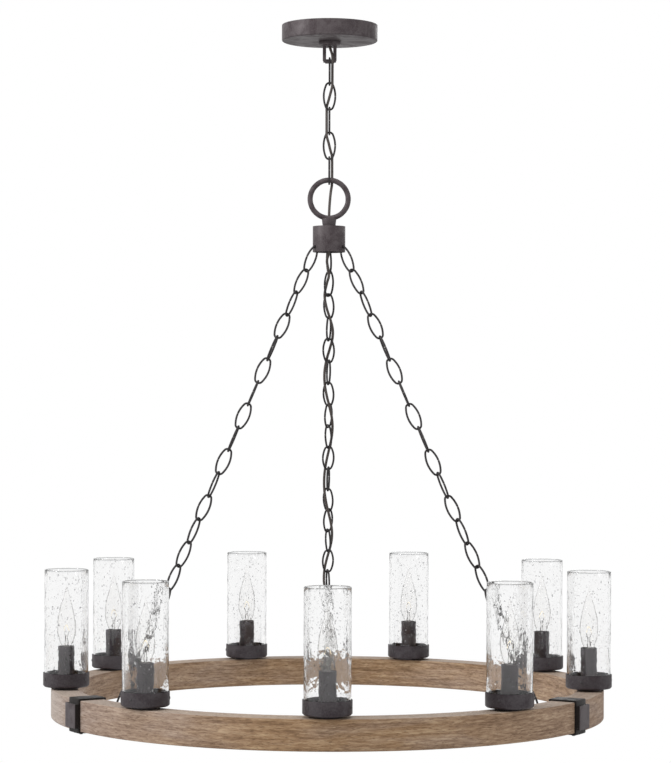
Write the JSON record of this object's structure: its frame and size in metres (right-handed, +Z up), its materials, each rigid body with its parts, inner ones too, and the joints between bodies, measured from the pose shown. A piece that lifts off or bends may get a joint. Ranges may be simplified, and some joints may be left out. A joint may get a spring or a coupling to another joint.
{
  "type": "wagon wheel chandelier",
  "caption": "Wagon wheel chandelier: a wooden rim with candle lamps in tall glass cylinders, hung on chains from a hub, a chain and a canopy.",
  "frame": {"origin": "middle of the crossbar's upper face, on the ceiling plane and on the axis of the fixture", "axes": "+Z up into the ceiling; -Y is the front, towards the viewer of the picture; +X to the right"},
  "size_m": [0.9815, 0.99, 1.2135],
  "materials": {
    "zinc": "aged zinc, matte",
    "dark_metal": "matte charcoal",
    "wood": "weathered, matte",
    "brass": "plain",
    "porcelain": "matte",
    "cord": "matte dark brown",
    "wire_sleeve": "matte",
    "seeded_glass": "clear, seeded",
    "bulb_glass": "clear"
  },
  "bodies": {
    "ceiling_plate": {"crossbar": "dark_metal", "ceiling_nipple": "brass", "ceiling_locknut": "brass", "canopy": "zinc", "loop_collar": "zinc", "canopy_loop": "zinc", "power_cord": "cord"},
    "link_1": {"chain_link_1": "dark_metal"},
    "link_2": {"chain_link_2": "dark_metal"},
    "link_3": {"chain_link_3": "dark_metal"},
    "link_4": {"chain_link_4": "dark_metal"},
    "link_5": {"chain_link_5": "dark_metal"},
    "fixture": {"hub_loop": "zinc", "hub": "zinc", "hub_nipple": "brass", "hub_locknut": "brass", "wheel_chain_left": "dark_metal", "wheel_chain_right": "dark_metal", "wheel_chain_back": "dark_metal", "chain_eyes": "dark_metal", "eye_nuts": "dark_metal", "wood_rail_1": "wood", "wood_rail_2": "wood", "wood_rail_3": "wood", "rail_joint_1": "zinc", "rail_joint_2": "zinc", "rail_joint_3": "zinc", "joint_screws": "dark_metal", "wireway_strips": "wood", "strip_screws": "dark_metal", "lamp_cups": "dark_metal", "cup_spacers": "dark_metal", "candle_sleeves": "dark_metal", "lamp_sockets": "porcelain", "lamp_nipples": "brass", "lamp_nuts": "brass", "set_screws": "dark_metal", "feed_cord": "cord", "cord_bush": "dark_metal", "ring_harness": "wire_sleeve"},
    "glass_1": {"glass_shade_1": "seeded_glass"},
    "lamp_1": {"bulb_1": "bulb_glass"},
    "glass_2": {"glass_shade_2": "seeded_glass"},
    "lamp_2": {"bulb_2": "bulb_glass"},
    "glass_3": {"glass_shade_3": "seeded_glass"},
    "lamp_3": {"bulb_3": "bulb_glass"},
    "glass_4": {"glass_shade_4": "seeded_glass"},
    "lamp_4": {"bulb_4": "bulb_glass"},
    "glass_5": {"glass_shade_5": "seeded_glass"},
    "lamp_5": {"bulb_5": "bulb_glass"},
    "glass_6": {"glass_shade_6": "seeded_glass"},
    "lamp_6": {"bulb_6": "bulb_glass"},
    "glass_7": {"glass_shade_7": "seeded_glass"},
    "lamp_7": {"bulb_7": "bulb_glass"},
    "glass_8": {"glass_shade_8": "seeded_glass"},
    "lamp_8": {"bulb_8": "bulb_glass"},
    "glass_9": {"glass_shade_9": "seeded_glass"},
    "lamp_9": {"bulb_9": "bulb_glass"}
  },
  "joints": [
    {"name": "link_1_swing", "type": "hinge", "parent": "ceiling_plate", "child": "link_1", "pos_m": [0, 0, -0.0624], "axis": [1, 0, 0], "range_deg": [-20, 20], "deforming": ["power_cord"]},
    {"name": "link_2_swing", "type": "hinge", "parent": "link_1", "child": "link_2", "pos_m": [0, 0, -0.10455], "axis": [0, 1, 0], "range_deg": [-20, 20], "deforming": ["power_cord"]},
    {"name": "link_3_swing", "type": "hinge", "parent": "link_2", "child": "link_3", "pos_m": [0, 0, -0.14805], "axis": [1, 0, 0], "range_deg": [-20, 20], "deforming": ["power_cord"]},
    {"name": "link_4_swing", "type": "hinge", "parent": "link_3", "child": "link_4", "pos_m": [0, 0, -0.19155], "axis": [0, 1, 0], "range_deg": [-20, 20], "deforming": ["power_cord"]},
    {"name": "link_5_swing", "type": "hinge", "parent": "link_4", "child": "link_5", "pos_m": [0, 0, -0.23505], "axis": [1, 0, 0], "range_deg": [-20, 20], "deforming": ["power_cord"]},
    {"name": "ring_swing", "type": "hinge", "parent": "link_5", "child": "fixture", "pos_m": [0, 0, -0.27855], "axis": [0, 1, 0], "range_deg": [-20, 20], "deforming": ["power_cord"]},
    {"name": "glass_1_lift", "type": "slide", "parent": "fixture", "child": "glass_1", "axis": [0, 0, 1], "range_m": [0, 0.2]},
    {"name": "glass_2_lift", "type": "slide", "parent": "fixture", "child": "glass_2", "axis": [0, 0, 1], "range_m": [0, 0.2]},
    {"name": "glass_3_lift", "type": "slide", "parent": "fixture", "child": "glass_3", "axis": [0, 0, 1], "range_m": [0, 0.2]},
    {"name": "glass_4_lift", "type": "slide", "parent": "fixture", "child": "glass_4", "axis": [0, 0, 1], "range_m": [0, 0.2]},
    {"name": "glass_5_lift", "type": "slide", "parent": "fixture", "child": "glass_5", "axis": [0, 0, 1], "range_m": [0, 0.2]},
    {"name": "glass_6_lift", "type": "slide", "parent": "fixture", "child": "glass_6", "axis": [0, 0, 1], "range_m": [0, 0.2]},
    {"name": "glass_7_lift", "type": "slide", "parent": "fixture", "child": "glass_7", "axis": [0, 0, 1], "range_m": [0, 0.2]},
    {"name": "glass_8_lift", "type": "slide", "parent": "fixture", "child": "glass_8", "axis": [0, 0, 1], "range_m": [0, 0.2]},
    {"name": "glass_9_lift", "type": "slide", "parent": "fixture", "child": "glass_9", "axis": [0, 0, 1], "range_m": [0, 0.2]},
    {"name": "bulb_1_lift", "type": "slide", "parent": "fixture", "child": "lamp_1", "axis": [0, 0, 1], "range_m": [0, 0.16]},
    {"name": "bulb_2_lift", "type": "slide", "parent": "fixture", "child": "lamp_2", "axis": [0, 0, 1], "range_m": [0, 0.16]},
    {"name": "bulb_3_lift", "type": "slide", "parent": "fixture", "child": "lamp_3", "axis": [0, 0, 1], "range_m": [0, 0.16]},
    {"name": "bulb_4_lift", "type": "slide", "parent": "fixture", "child": "lamp_4", "axis": [0, 0, 1], "range_m": [0, 0.16]},
    {"name": "bulb_5_lift", "type": "slide", "parent": "fixture", "child": "lamp_5", "axis": [0, 0, 1], "range_m": [0, 0.16]},
    {"name": "bulb_6_lift", "type": "slide", "parent": "fixture", "child": "lamp_6", "axis": [0, 0, 1], "range_m": [0, 0.16]},
    {"name": "bulb_7_lift", "type": "slide", "parent": "fixture", "child": "lamp_7", "axis": [0, 0, 1], "range_m": [0, 0.16]},
    {"name": "bulb_8_lift", "type": "slide", "parent": "fixture", "child": "lamp_8", "axis": [0, 0, 1], "range_m": [0, 0.16]},
    {"name": "bulb_9_lift", "type": "slide", "parent": "fixture", "child": "lamp_9", "axis": [0, 0, 1], "range_m": [0, 0.16]}
  ]
}
